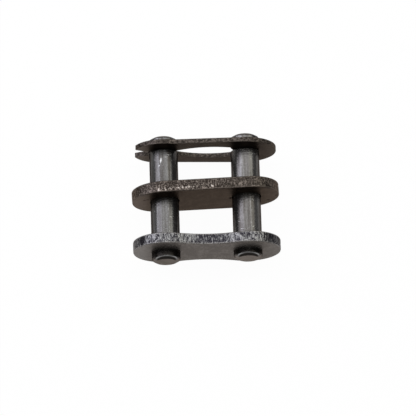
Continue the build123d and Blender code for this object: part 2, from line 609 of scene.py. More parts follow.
@dataclass(frozen=True)
class BlankedSteel:
    """Steel punched from strip: flat rolled faces, and an edge that was sheared and torn.

    Attributes:
        name: Name of the material.
        face: Colour of the rolled faces.
        face_stain: Colour of the darker cloudy patches on them.
        rim: Colour of the line of wear round both faces.
        painted_light_colour: Colour of the faces' ends, painted lighter as if more light fell on them.
        ridge: Colour of the raised tears on the edge.
        pit: Colour of the hollows between them.
        painted_glint: Colour of the painted highlight specks on the edge.
        face_roughness: Roughness of the faces.
        edge_roughness: Roughness of the edge.
        cloud_cells: Cells a millimetre of the wide clouds on the faces.
        mottle_cells: Cells a millimetre of the mottling on the faces.
        fleck_cells: Cells a millimetre of the flecks.
        grain_cells: Cells a millimetre of the fine grain.
        sand_cells: Cells a millimetre of the grit on the edge.
        relief: Depth of the grain, in millimetres.
        speck: Share of the edge that small bright specks cover.
        grit: Strength of the grit on the edge.
        painted_light_left: Where along X the painted light on the left end starts, and where it is
            brightest.
        painted_light_right: The same for the right end.
        metal: Share of bare metal; the rest is matt oxide.
        graze: Share of the mirror brightness that is left where the view grazes the steel.
        graze_warmth: Warmth of that share.
        dents: Dark, rough spots on the faces.
    """

    name: str
    face: Colour
    face_stain: Colour
    rim: Colour
    painted_light_colour: Colour
    ridge: Colour
    pit: Colour
    painted_glint: Colour = grey(0.42, 0.1)
    face_roughness: float = 0.42
    edge_roughness: float = 0.34
    cloud_cells: Place = (0.55, 0.55, 0.55)
    mottle_cells: Place = (3.4, 3.4, 1.7)
    fleck_cells: Place = (2.6, 2.6, 2.6)
    grain_cells: Place = (9.0, 9.0, 9.0)
    sand_cells: Place = (7.0, 4.6, 7.0)
    relief: float = 0.0132
    speck: float = 0.12
    grit: float = 1.1
    painted_light_left: tuple[float, float] = (-7.6, -10.8)
    painted_light_right: tuple[float, float] = (8.8, 11.2)
    metal: float = 0.8
    graze: float = 0.5
    graze_warmth: float = 0.06
    dents: tuple[Dent, ...] = ()

    def material(self) -> bpy.types.Material:
        """Build the material.

        The face colour drifts with wide clouds, flecks, mottling and fine grain, and painted light
        brightens its ends. On the edge the mesh's own tear value, with grit added, picks between pit and
        ridge, and above 1 it shows a painted highlight. Specks brighten the edge, the rim value lays a line
        of wear where face and edge meet, and the dark spots are as dark as pits and rough.

        Returns:
            The material.
        """
        made, g = new_material(self.name)
        clouds = g.noise(self.cloud_cells, 4, 0.6)
        grain = g.noise(self.grain_cells, 3, 0.6)
        flecks = g.noise(self.fleck_cells, 2, 0.5, 0.6)
        mottle = g.noise(self.mottle_cells, 3, 0.65)
        sand = g.noise(self.sand_cells, 2, 0.7)
        edge, rim, tear = g.mark("edge"), g.mark("rim"), g.mark("tear")
        along = g.along()
        left, right = (along.ramp(a * MM, b * MM) for a, b in (self.painted_light_left, self.painted_light_right))

        stain = clouds.ramp(0.36, 0.62) * 0.75 + flecks.ramp(0.6, 0.72) * 0.5
        face = g.blend(stain, self.face, self.face_stain)
        face = g.blend(mottle.ramp(0.44, 0.58) * 0.85, face, self.face_stain)
        face = g.blend(grain.ramp(0.3, 0.7) * 0.4, face, self.face_stain)
        # Painted light: the faces' ends are painted lighter, the left end more than the right.
        worn = (left * 0.9 + right * 0.3) * grain.ramp(0.25, 0.6, 0.45, 0.85)
        face = g.blend(worn, face, self.painted_light_colour)

        gritty = tear + (sand - 0.5) * self.grit
        specks = grain.ramp(0.72 - self.speck, 0.8 - self.speck)
        torn = g.blend(gritty.ramp(0.2, 0.95), self.pit, self.ridge)
        torn = g.blend(specks * 0.4, torn, self.ridge)
        # Painted highlight specks where the tear value passes 1.
        torn = g.blend(tear.ramp(1.0, 1.35), torn, self.painted_glint)

        colour = g.blend(edge, face, torn)
        colour = g.blend(rim * flecks.ramp(0.25, 0.6, 0.35, 0.9), colour, self.rim)
        edge_step = self.edge_roughness - self.face_roughness
        roughness = self.face_roughness + grain * 0.12 - rim * 0.1 + edge * edge_step
        roughness = roughness + clouds * 0.08 - 0.1
        for dent in self.dents:
            share = g.spot(dent.middle, dent.half)
            colour = g.blend(share * 0.85, colour, self.pit)
            roughness = roughness + share * 0.6
        height = grain * (1 - 0.4 * edge) + flecks * 0.3 + mottle * (1 - edge) * 1.6
        normal = g.bump(height, self.relief)
        g.steel(colour, roughness, normal, self.metal, grey(self.graze, self.graze_warmth))
        return made


@dataclass(frozen=True)
class GroundSteel:
    """Smooth hardened steel of a pin, drawn lengthwise, with painted shade on its near end.

    Attributes:
        name: Name of the material.
        shank: Colour of the shank.
        shade: Colour of the darker lengthwise lines.
        end: Colour of the bevelled ends.
        scratch_and_painted_highlight: Colour of bare scratches and nicks, and of the painted highlight on
            the near end.
        oil: Colour of the painted shade on the upper side of the near end.
        line_cells: Cells a millimetre of the fine lengthwise lines.
        broad_cells: Cells a millimetre of the broad lengthwise lines.
        grain_cells: Cells a millimetre of the grain.
        blotch_cells: Cells a millimetre of the blotches.
        cut_cells: Cells a millimetre of the noise whose highest parts are scratches.
        groove_cells: Cells a millimetre of the grooves round the shank.
        roughness: Roughness of the shank.
        relief: Depth of the lines, grain and grooves, in millimetres.
        metal: Share of bare metal; the rest is matt.
        graze: Share of the mirror brightness that is left where the view grazes the steel.
        graze_warmth: Warmth of that share.
    """

    name: str
    shank: Colour
    shade: Colour
    end: Colour
    scratch_and_painted_highlight: Colour = grey(0.5)
    oil: Colour = grey(0.018, 0.1)
    line_cells: Place = (4.2, 0.12, 4.2)
    broad_cells: Place = (1.7, 0.08, 1.7)
    grain_cells: Place = (7.0, 4.5, 7.0)
    blotch_cells: Place = (0.8, 0.5, 0.8)
    cut_cells: Place = (1.1, 5.0, 2.1)
    groove_cells: Place = (0.6, 24.0, 0.6)
    roughness: float = 0.2
    relief: float = 0.006
    metal: float = 0.87
    graze: float = 0.21
    graze_warmth: float = 0.18

    def material(self) -> bpy.types.Material:
        """Build the material.

        Noise drawn out along Y gives the lengthwise lines, and the highest parts of another noise give
        scratches. Fine grooves round the shank spread its shine along it. The mesh's own values place the
        ends, the painted shade, the painted highlight and the nicks.

        Returns:
            The material.
        """
        made, g = new_material(self.name)
        lines = g.noise(self.line_cells, 3, 0.6)
        broad = g.noise(self.broad_cells, 2, 0.5)
        grain = g.noise(self.grain_cells, 3, 0.7)
        blotch = g.noise(self.blotch_cells, 3, 0.6, 0.4)
        cut = g.noise(self.cut_cells, 1, 0.4, 1.4)
        grooves = g.noise(self.groove_cells, 1, 0.5)
        end, nick = g.mark("end"), g.mark("nick")
        bare = cut.ramp(0.695, 0.72) * blotch.ramp(0.5, 0.62)
        dark = lines.ramp(0.42, 0.6) * 0.5 + broad.ramp(0.45, 0.6) * 0.35 + blotch.ramp(0.5, 0.7) * 0.2

        colour = g.blend(dark, self.shank, self.shade)
        colour = g.blend(grain.ramp(0.4, 0.66) * 0.5, colour, self.shade)
        colour = g.blend(bare, colour, self.scratch_and_painted_highlight)
        colour = g.blend(end * blotch.ramp(0.3, 0.6, 0.7, 1.0), colour, self.end)
        # Painted shade: the upper side of the near end is painted near black.
        colour = g.blend(g.mark("oil"), colour, self.oil)
        # Painted highlight: a bright line along the upper edge of the near bevel.
        colour = g.blend(g.mark("worn"), colour, self.scratch_and_painted_highlight)
        colour = g.blend(nick.ramp(-0.1, -1.0) * 0.75, colour, self.shade)
        colour = g.blend(nick.ramp(0.1, 1.0) * 0.75, colour, self.scratch_and_painted_highlight)
        roughness = self.roughness + lines * 0.1 + grain * 0.08 + end * 0.16 - 0.07
        height = lines * 0.35 + grain * 0.5 + grooves * 1.6 - bare * 0.6
        normal = g.bump(height, self.relief)
        g.steel(colour, roughness, normal, self.metal, grey(self.graze, self.graze_warmth))
        return made


# Torn edges


class EdgeTear(Enum):
    """How the sheared edge of a piece looks."""

    STREAKED = "slanting torn streaks through the thickness"
    GRAINED = "short grains with bright specks"
    FINE = "fine grains"


def streaked_tear(x: np.ndarray, y: np.ndarray, z: np.ndarray) -> np.ndarray:
    """Slanting streaks: 0.4 + 0.38 r + 0.26 f + 0.2 p, held between 0 and 1.

    The ridge r is 1 - 2.8 |n| for a noise n drawn out along Y on coordinates that two more noises shift
    sideways, so its ridges run slanting through the thickness. f is a finer noise on the shifted
    coordinates, and the patch p is a wide noise that is lower round the middle and at the right end.

    Args:
        x: Place along the plate, in millimetres.
        y: Place through the thickness.
        z: Height.

    Returns:
        Heights from 0 to 1.
    """
    wide_shift = noise_at(x, y, z, (1.6, 1.2, 1.6), 5)
    slant = 0.42 * wide_shift + 0.12 * noise_at(x, y, z, (5.0, 4.0, 5.0), 6)
    ridge = 1 - np.abs(noise_at(x + slant, y, z + slant, (5.2, 0.7, 5.2), 1)) * 2.8
    fine = noise_at(x + slant, y, z - slant, (9.0, 2.4, 9.0), 2)
    patch = 0.7 * noise_at(x, y, z, (0.8, 0.7, 0.8), 3) - 0.9 * bell(x, 0, 3.4)
    patch = patch - 0.8 * smooth_step(x, 8.3, 10.0)
    return np.clip(0.4 + 0.38 * ridge + 0.26 * fine + 0.2 * patch, 0, 1)


def grained_tear(x: np.ndarray, y: np.ndarray, z: np.ndarray) -> np.ndarray:
    """Short grains: a level + 0.2 c + 0.42 f + 0.12 p + 0.6 b, held between 0 and 1, and 0.8 t on top.

    c, f and p are a coarse, a fine and a wide noise, and the level rises a little at the right. The burrs
    b are the coarse noise's high parts near the front face, except at the right. The painted highlight
    specks t are the high parts of one more noise about half a millimetre behind the front face, from
    near the left end to just past the middle.

    Args:
        x: Place along the plate, in millimetres.
        y: Place through the thickness.
        z: Height.

    Returns:
        Heights from 0 to 1.8.
    """
    coarse = noise_at(x, y, z, (6.4, 5.0, 6.4), 11)
    fine = noise_at(x, y, z, (10.0, 8.0, 10.0), 12)
    patch = noise_at(x, y, z, (0.9, 1.1, 0.9), 13)
    burr = bell(y, 0.34, 0.24) * smooth_step(-x, -4.5, 2.0) * np.maximum(coarse, 0)
    # Painted highlight specks: they lift the tear value above 1, where the material paints them bright.
    tip = smooth_step(soft_noise(x * 6.8 + 0.5 * fine, y * 3.8, z * 6.8, 16), 0.08, 0.4)
    tip = tip * bell(y, 0.5, 0.4) * smooth_step(x, -9.6, -6.8) * smooth_step(-x, -2.4, -0.8)
    level = 0.33 + 0.1 * smooth_step(x, 0.0, 5.0)
    return np.clip(level + 0.2 * coarse + 0.42 * fine + 0.12 * patch + 0.6 * burr, 0, 1) + 0.8 * tip


def fine_tear(x: np.ndarray, y: np.ndarray, z: np.ndarray) -> np.ndarray:
    """Fine grains: 0.45 + 0.35 c + 0.3 f, held between 0 and 1, for a coarse and a fine noise c and f.

    Args:
        x: Place along the clip, in millimetres.
        y: Place through the thickness.
        z: Height.

    Returns:
        Heights from 0 to 1.
    """
    coarse = noise_at(x, y, z, (4.2, 5.0, 4.2), 21)
    fine = noise_at(x, y, z, (9.0, 9.0, 9.0), 22)
    return np.clip(0.45 + 0.35 * coarse + 0.3 * fine, 0, 1)


TEAR_HEIGHTS = {
    EdgeTear.STREAKED: streaked_tear,
    EdgeTear.GRAINED: grained_tear,
    EdgeTear.FINE: fine_tear,
}


@dataclass(frozen=True)
class EdgeBand:
    """The sheared edge of a piece: a profile that is carried along its border.

    A quarter circle of the rounding radius leads from the front face into the wall, and another one from
    the wall into the back face.

    Attributes:
        thickness: Distance between the two faces.
        rounding: Radius of the quarter circles.
        rows: Number of steps on the wall.
        tear: Look of the edge.
        relief: Depth of the torn hollows.
    """

    thickness: float
    rounding: float
    rows: int
    tear: EdgeTear = EdgeTear.FINE
    relief: float = 0.0

    def profile(self) -> tuple[np.ndarray, np.ndarray, np.ndarray]:
        """Work out the profile, from the front face to the back face.

        Returns:
            Inset from the border, depth behind the front face, and share of edge (0 on a face, 1 on the
            wall).
        """
        a = np.linspace(0, math.pi / 2, ARC_POINTS)
        inset = self.rounding * (1 - np.sin(a))
        depth = self.rounding * (1 - np.cos(a))
        wall = np.linspace(self.rounding, self.thickness - self.rounding, self.rows + 1)[1:-1]
        insets = np.concatenate((inset, np.zeros(len(wall)), inset[::-1]))
        depths = np.concatenate((depth, wall, self.thickness - depth[::-1]))
        share = smooth_step(self.rounding - insets, 0.25 * self.rounding, self.rounding)
        return insets, depths, share

    def carried(self, points: np.ndarray, normals: np.ndarray) -> tuple[np.ndarray, np.ndarray]:
        """Carry the profile along a border: the point less the normal times the inset and the relief.

        Args:
            points: Points of the border, shape (n, 2).
            normals: Its outward normals.

        Returns:
            Points (x, height), shape (n, rows, 2), and their tear values, shape (n, rows).
        """
        insets, depths, share = self.profile()
        height = TEAR_HEIGHTS[self.tear](points[:, 0, None], depths[None, :], points[:, 1, None])
        sunk = insets + share * np.maximum(1 - height, 0) * self.relief
        return points[:, None, :] - normals[:, None, :] * sunk[..., None], height


# Pieces


class OutlineKind(Enum):
    """Outline of a plate."""

    WAISTED = "two lobes joined by a waist"
    STRAIGHT = "round ends joined by straight sides"


@dataclass
class Plate:
    """A link plate with a hole at each end.

    Attributes:
        node: CAD node that it stands for.
        body: Body that it rides on.
        slot: Material slot; not used.
        kind: Outline.
        tear: Look of its sheared edge.
        hole_radius: Radius of its holes.
        skew: Angle about the vertical, in degrees.
        half_pitch: Distance of a hole from the middle.
        lobe_radius: Radius of its ends.
        waist_depth: Depth of the hollow on each flank, where it has a waist.
        rounding: Radius of its edge breaks.
        hole_rounding: Radius of its holes' edge breaks.
        rim_depth: Depth of the line of wear behind each face.
        rim_width: Half the width of that line.
        rim_fade: Width of its soft border at the face.
        spacing: Distance between vertices along the edge.
        middle_spacing: Distance between vertices along the line between the halves.
        edge_rows: Number of steps through the edge.
        hole_rows: Number of steps through a hole.
        relief: Depth of the torn edge's hollows.
    """

    node: str
    body: str
    slot: str
    kind: OutlineKind
    tear: EdgeTear
    hole_radius: float
    skew: float = 0.0
    half_pitch: float = 6.35
    lobe_radius: float = 5.1
    waist_depth: float = 1.15
    rounding: float = 0.15
    hole_rounding: float = 0.04
    rim_depth: float = 0.1
    rim_width: float = 0.07
    rim_fade: float = 0.02
    spacing: float = 0.055
    middle_spacing: float = 0.3
    edge_rows: int = 26
    hole_rows: int = 8
    relief: float = 0.045

    def half_outline(self) -> tuple[np.ndarray, np.ndarray]:
        """Right half of the outline, from the middle of the lower side to the middle of the upper side.

        The lobe is a circle about the hole. A waisted flank is a circle about a point straight above or
        below the middle, tangent to the lobe; a straight flank is a line.

        Returns:
            Points and outward normals, shapes (n, 2).
        """
        lobe = (self.half_pitch, 0.0)
        if self.kind is OutlineKind.STRAIGHT:
            below = -self.lobe_radius
            flank = line_points((0, below), (self.half_pitch, below), self.spacing)
            flank_normal = np.tile((0.0, -1.0), (len(flank), 1))
            reach = math.pi / 2
        else:
            waist = self.lobe_radius - self.waist_depth
            radius = (self.half_pitch**2 + waist**2 - self.lobe_radius**2) / (2 * self.waist_depth)
            centre = waist + radius
            angle = math.atan2(self.half_pitch, centre)
            flank = arc_points((0.0, -centre), radius, math.pi / 2, math.pi / 2 - angle, self.spacing)
            flank_normal = (np.array((0.0, -centre)) - flank) / radius
            reach = math.pi / 2 + angle
        end = arc_points(lobe, self.lobe_radius, -reach, reach, self.spacing)
        end_normal = (end - np.array(lobe)) / self.lobe_radius
        flip = np.array((1.0, -1.0))
        points = joined(flank, end, flank[::-1] * flip)
        normals = joined(flank_normal, end_normal, flank_normal[::-1] * flip)
        return points, normals

    def cos_sin(self) -> tuple[float, float]:
        """Cosine and sine of the skew."""
        return math.cos(math.radians(self.skew)), math.sin(math.radians(self.skew))

    def placed(self, across: np.ndarray, depth: np.ndarray) -> np.ndarray:
        """Put points of the plate's own plane in the row frame: turned about the vertical by the skew.

        Args:
            across: Places along the plate and heights above the pins' axes, shape (..., 2).
            depth: Depth behind the front face, of a shape that fits.

        Returns:
            Points, shape (..., 3).
        """
        low, high = box_of(self.node)
        middle = (low + high) / 2
        x, z = across[..., 0], across[..., 1]
        back = depth - self.thickness / 2
        c, s = self.cos_sin()
        parts = (x * c - back * s, middle[1] + x * s + back * c, middle[2] + z)
        return np.stack(np.broadcast_arrays(*parts), axis=-1)

    @property
    def thickness(self) -> float:
        """Thickness, from the depth of the CAD node's box.

        The box of a plate turned by a is 2 (L - r) sin a + t cos a + 2 r (1 - cos a) deep, where L is half
        the plate's length, r its rounding and t its thickness.

        Returns:
            The thickness.
        """
        low, high = box_of(self.node)
        c, s = self.cos_sin()
        half_length = self.half_pitch + self.lobe_radius
        slant = 2 * (half_length - self.rounding) * s + 2 * self.rounding * (1 - c)
        return (high[1] - low[1] - slant) / c

    def edge_band(self, shell: Shell, half: np.ndarray, normal: np.ndarray) -> None:
        """Add the outer edge: the profile carried round the outline, sunk by the torn relief.

        The rim value is a bell of the depth behind the nearer face.

        Args:
            shell: Shell to add it to.
            half: Right half of the outline.
            normal: Its outward normals.
        """
        mirror = np.array((-1.0, 1.0))
        points = np.concatenate((half, (half * mirror)[::-1][1:-1]))
        normals = np.concatenate((normal, (normal * mirror)[::-1][1:-1]))
        band = EdgeBand(self.thickness, self.rounding, self.edge_rows, self.tear, self.relief)
        across, tear = band.carried(points, normals)
        _, depths, share = band.profile()
        front = np.minimum(depths, self.thickness - depths)
        rim = bell(front, self.rim_depth, self.rim_width) * smooth_step(front, 0.0, self.rim_fade)
        marks = {"edge": share[None, :], "tear": tear, "rim": rim[None, :]}
        shell.add(self.placed(across, depths[None, :]), (True, False), marks)

    def half_faces(self, shell: Shell, half: np.ndarray, normal: np.ndarray, side: float) -> None:
        """Add both faces of one half and its hole's wall.

        Rays run from the hole's edge to the points of the outline and of the middle line, and each face
        has points at fixed shares of every ray.

        Args:
            shell: Shell to add it to.
            half: Right half of the outline.
            normal: Its outward normals.
            side: 1 for the right half, -1 for the left.
        """
        border = half - normal * self.rounding
        middle = line_points(border[-1], border[0], self.middle_spacing)[1:-1]
        border = np.concatenate((border, middle))
        hole = np.array((self.half_pitch, 0.0))
        ray = unit(border - hole)
        inner = hole + ray * (self.hole_radius + self.hole_rounding)
        face = inner[None] + (border - inner)[None] * RAY_SHARES[:, None, None]
        insets, depths, _ = EdgeBand(self.thickness, self.hole_rounding, self.hole_rows).profile()
        wall = hole + ray[None] * (self.hole_radius + insets)[:, None, None]
        flip = np.array((side, 1.0))
        bare = dict.fromkeys(("edge", "tear", "rim"), np.zeros(1))
        for across, depth in ((face, 0.0), (face, self.thickness), (wall, depths[:, None])):
            shell.add(self.placed(across * flip, depth), (False, True), bare)

    def make(self, finish: BlankedSteel) -> bpy.types.Object:
        """Build the plate and give it its finish.

        Args:
            finish: Its finish.

        Returns:
            The piece.
        """
        shell = Shell(f"{self.node}_steel")
        half, normal = self.half_outline()
        self.edge_band(shell, half, normal)
        for side in (1.0, -1.0):
            self.half_faces(shell, half, normal, side)
        return dressed(shell.build(), finish.material(), self.node, self.body)


@dataclass(frozen=True)
class Nick:
    """A nick or dent on a pin.

    Attributes:
        place: Place of its middle along Y.
        angle: Angle of its middle from the top towards +X, in degrees.
        slant: Slant from Y, in degrees.
        length: Half its length.
        width: Half its width.
        strength: Above 0 for bare steel, below 0 for a dark dent.
    """

    place: float
    angle: float
    slant: float
    length: float
    width: float
    strength: float


@dataclass
class Pin:
    """A pin with bevelled ends and a neck for the clip.

    Attributes:
        node: CAD node that it stands for.
        nicks: Its nicks.
        radius: Radius of the shank.
        flat_radius: Radius of the flat end faces.
        bevel: Length of the bevels.
        end_rounding: Rounding of the bevels' edges.
        neck_radius: Radius of the neck.
        neck_play: Room between the clip and each side of the neck.
        neck_break: Small bevel on the neck's edges.
        end_fade: Shares of the bevel's length over which the end's colour fades into the shank's.
        painted_shade_border: Width of the painted shade's soft border in front of the outer plate.
        flat_border: Width of its soft border round the flat end face.
        painted_shade_spread: Cosines of the angles from the top at which the painted shade starts and is
            full.
        painted_highlight_share: Brightness of the painted highlight line on the near end.
        painted_highlight_width: Half the width of that line.
        painted_highlight_rise: How fast it leaves the bevel's edge.
        painted_highlight_spread: Cosines of the angles from the top at which it starts and is full.
        dent_depth: Mean depth of the shallow dents on the bevels.
        dent_cells: Cells a millimetre of those dents.
        still_radius: Radius up to which the end faces have no dents.
        columns: Number of points round the axis.
        spacing: Distance between vertices along the profile.
    """

    node: str
    nicks: tuple[Nick, ...]
    radius: float = 2.225
    flat_radius: float = 1.65
    bevel: float = 0.35
    end_rounding: float = 0.16
    neck_radius: float = 1.65
    neck_play: float = 0.04
    neck_break: float = 0.06
    end_fade: tuple[float, float] = (0.5, 0.95)
    painted_shade_border: float = 0.3
    flat_border: float = 0.14
    painted_shade_spread: tuple[float, float] = (0.25, 0.7)
    painted_highlight_share: float = 0.6
    painted_highlight_width: float = 0.05
    painted_highlight_rise: float = 0.5
    painted_highlight_spread: tuple[float, float] = (0.4, 0.66)
    dent_depth: float = 0.008
    dent_cells: Place = (1.6, 1.6, 1.6)
    still_radius: float = 0.5
    columns: int = 288
    spacing: float = 0.09

    def profile(self, near: float, far: float) -> np.ndarray:
        """Half section of the pin, from the middle of its near end to the middle of its far end.

        Args:
            near: Place of the near end along Y.
            far: Place of the far end.

        Returns:
            Points (radius, place along Y), shape (n, 2).
        """
        low, high = box_of("spring_clip")
        start, end = low[1] - self.neck_play, high[1] + self.neck_play
        r, e, soft = self.radius, self.neck_break, self.end_rounding
        corners = [
            (0.0, near, 0.0),
            (self.flat_radius, near, soft),
            (r, near + self.bevel, soft),
            (r, start - e, 0.0),
            (r - e, start, 0.0),
            (self.neck_radius, start, 0.0),
            (self.neck_radius, end, 0.0),
            (r - e, end, 0.0),
            (r, end + e, 0.0),
            (r, far - self.bevel, soft),
            (self.flat_radius, far, soft),
            (0.0, far, 0.0),
        ]
        return rounded_profile(corners, self.spacing)

    def nick_value(self, a: np.ndarray, y: np.ndarray) -> np.ndarray:
        """Sum of the nicks: each strength * exp(-(along / length)^2 - (across / width)^2), unrolled.

        Args:
            a: Angles from the top, in radians.
            y: Places along the axis.

        Returns:
            Values from -1 to 1.
        """
        numbers = np.array([astuple(nick) for nick in self.nicks]).T[:, :, None, None]
        place, angle, slant, length, width, strength = numbers
        turn = np.radians(slant)
        round_by = self.radius * half_turn(a - np.radians(angle))
        along = (y - place) * np.cos(turn) + round_by * np.sin(turn)
        across = round_by * np.cos(turn) - (y - place) * np.sin(turn)
        spots = strength * np.exp(-((along / length) ** 2) - (across / width) ** 2)
        return np.clip(spots.sum(axis=0), -1, 1)

    def marks(self, a: np.ndarray, section: np.ndarray) -> dict[str, np.ndarray]:
        """Values for the material: ends, painted shade, painted highlight and nicks.

        The ends reach over most of a bevel. The painted shade lies on the upper side of the near end, in
        front of the outer plate and outside the flat face. The painted highlight is a bell about the near
        bevel's outer edge, which it leaves by painted_highlight_rise a^2 of the bevel's length at an angle
        a from the top.

        Args:
            a: Angles from the top, shape (1, columns).
            section: Profile of the pin.

        Returns:
            The values by name.
        """
        radius, y = section[:, 0, None], section[:, 1, None]
        near, far = section[0, 1], section[-1, 1]
        face = box_of("outer_plate")[0][1]
        top = np.cos(a)
        fade = (self.bevel * share for share in self.end_fade)
        ends = 1 - smooth_step(np.minimum(y - near, far - y), *fade)
        # Painted shade on the upper side of the near end, in front of the outer plate.
        oil = smooth_step(-y, -face, self.painted_shade_border - face) * smooth_step(top, *self.painted_shade_spread)
        oil = oil * smooth_step(radius, self.flat_radius - self.flat_border, self.flat_radius)
        # Painted highlight: a bright line along the near bevel's outer edge, on its upper side.
        edge = near + self.bevel * (1 - self.painted_highlight_rise * half_turn(a) ** 2)
        worn = self.painted_highlight_share * bell(y, edge, self.painted_highlight_width) * smooth_step(top, *self.painted_highlight_spread)
        return {"end": ends, "oil": oil, "worn": worn, "nick": self.nick_value(a, y)}

    def make(self, finish: GroundSteel) -> bpy.types.Object:
        """Turn the pin's profile about its axis: (axis x + r sin a, y, axis z + r cos a), and dress it.

        Args:
            finish: Its finish.

        Returns:
            The piece.
        """
        low, high = box_of(self.node)
        middle = (low + high) / 2
        section = self.profile(low[1], high[1])
        a = np.linspace(0, 2 * math.pi, self.columns, endpoint=False)[None, :]
        marks = self.marks(a, section)
        radius, y = section[:, 0, None], section[:, 1, None]
        dents = noise_at(np.sin(a) * radius, y, np.cos(a) * radius, self.dent_cells, 31)
        hollow = self.dent_depth * marks["end"] * (1 + dents) * (radius > self.still_radius)
        radius = radius - hollow
        parts = (middle[0] + radius * np.sin(a), y, middle[2] + radius * np.cos(a))
        shell = Shell(f"{self.node}_steel")
        shell.add(np.stack(np.broadcast_arrays(*parts), axis=-1), (False, True), marks)
        return dressed(shell.build(), finish.material(), self.node, "link")


@dataclass
class SpringClip:
    """The flat split loop that locks the cover plate.

    It is closed at the right, and its fork at the left snaps round the left neck. Sizes repeat those of
    the CAD.

    Attributes:
        node: CAD node that it stands for.
        half_pitch: Distance of a neck from the middle.
        seat_radius: Radius of the seats round the necks.
        end_centre: Centre of the closed end's circle, along X.
        end_radius: Its radius.
        open_radius: Radius of the open end, about the left neck.
        flank_half: Half the clip's height that its straight flanks aim at over the left neck.
        blend_radius: Radius of the hollow between open end and flank.
        throat_half: Half the gap between seat and slot.
        slot_start: Where the slot starts, along X.
        slot_half: Half the slot's height at its middle.
        slot_corner: Far corner of the slot.
        slot_slope: Length along X of the slot's sloped far end.
        fork_half: Half the fork's gap.
        fork_straight: Where the fork's straight gap ends.
        fork_mouth: Corner of its flared mouth.
        tip_radius: Rounding of the fork's tips.
        corner_cuts: Length that each inner corner loses to its rounding, from the fork to the right seat.
        rounding: Radius of the edge breaks.
        spacing: Distance between vertices along the edge.
        least_points: Fewest points between two stations.
        stations: Places along X at which the inner and the outer border are paired.
        edge_rows: Number of steps through the edge.
        relief: Depth of the torn edge's hollows.
    """

    node: str = "spring_clip"
    half_pitch: float = 6.35
    seat_radius: float = 1.7
    end_centre: float = 6.12
    end_radius: float = 5.08
    open_radius: float = 4.75
    flank_half: float = 4.4
    blend_radius: float = 1.5
    throat_half: float = 1.0
    slot_start: float = -4.3
    slot_half: float = 2.45
    slot_corner: tuple[float, float] = (4.15, 2.05)
    slot_slope: float = 0.5
    fork_half: float = 0.95
    fork_straight: float = -9.35
    fork_mouth: tuple[float, float] = (-10.7776, 1.72)
    tip_radius: float = 0.15
    corner_cuts: tuple[float, ...] = (0.06, 0.12, 0.12, 0.06, 0.18, 0.1, 0.12)
    rounding: float = 0.06
    spacing: float = 0.06
    least_points: int = 6
    stations: tuple[tuple[float, float], ...] = (
        (-9.3, -9.6), (-7.55, -8.2), (-5.2, -5.4), (4.0, 3.9), (4.75, 5.0), (6.35, 6.6)
    )
    edge_rows: int = 9
    relief: float = 0.03

    def tip(self) -> tuple[np.ndarray, np.ndarray, np.ndarray]:
        """Circle that rounds the fork's upper tip.

        Its centre lies a tip radius above the mouth's line and inside the open end's circle.

        Returns:
            Its centre, its touching point on the mouth's line and that on the open end.
        """
        start = np.array((self.fork_straight, self.fork_half))
        along = unit(np.array(self.fork_mouth) - start)
        up = np.array((along[1], -along[0]))
        neck = np.array((-self.half_pitch, 0.0))
        base = start + up * self.tip_radius - neck
        b = float(base @ along)
        c = float(base @ base) - (self.open_radius - self.tip_radius) ** 2
        centre = start + up * self.tip_radius + along * (-b + math.sqrt(b * b - c))
        return centre, centre - up * self.tip_radius, centre + unit(centre - neck) * self.tip_radius

    def borders(self) -> tuple[np.ndarray, np.ndarray]:
        """Inner and outer border of the upper half, from the fork's tip to the closed end.

        Both start at the middle of the rounded tip.

        Returns:
            Inner and outer points, shapes (n, 2), which face each other.
        """
        centre, on_line, on_open_end = self.tip()
        first, last = (angle_of(point - centre) % (2 * math.pi) for point in (on_line, on_open_end))
        middle, fine = (first + last) / 2, self.spacing / 2
        tip_in = arc_points(tuple(centre), self.tip_radius, middle, first, fine)
        tip_out = arc_points(tuple(centre), self.tip_radius, middle, last, fine)
        return self.matched(self.inner_border(tip_in, on_line), self.outer_border(tip_out, on_open_end))

    def inner_border(self, tip: np.ndarray, on_line: np.ndarray) -> np.ndarray:
        """Inner border: the fork, the left seat, the slot and the right seat, with rounded corners.

        Args:
            tip: Inner half of the tip's arc.
            on_line: Where that arc touches the mouth's line.

        Returns:
            Points, shape (n, 2).
        """
        h, seat, step = self.half_pitch, self.seat_radius, self.spacing
        knee = (self.fork_straight, self.fork_half)
        fork_end = (-h - math.sqrt(seat**2 - self.fork_half**2), self.fork_half)
        throat = math.sqrt(seat**2 - self.throat_half**2)
        left_from = math.atan2(self.fork_half, fork_end[0] + h)
        left_to = math.atan2(self.throat_half, throat)
        slot_in = np.array((self.slot_start, self.throat_half))
        top, corner = np.array((0.0, self.slot_half)), np.array(self.slot_corner)
        slot_out = np.array((corner[0] + self.slot_slope, self.throat_half))
        runs = [
            joined(tip, line_points(on_line, knee, step)),
            line_points(knee, fork_end, step),
            arc_points((-h, 0.0), seat, left_from, left_to, step),
            line_points((-h + throat, self.throat_half), slot_in, step),
            self.three_point_arc(slot_in, top, corner),
            line_points(corner, slot_out, step),
            line_points(slot_out, (h - throat, self.throat_half), step),
            arc_points((h, 0.0), seat, math.pi - left_to, 0.0, step),
        ]
        return rounded_runs(runs, self.corner_cuts)

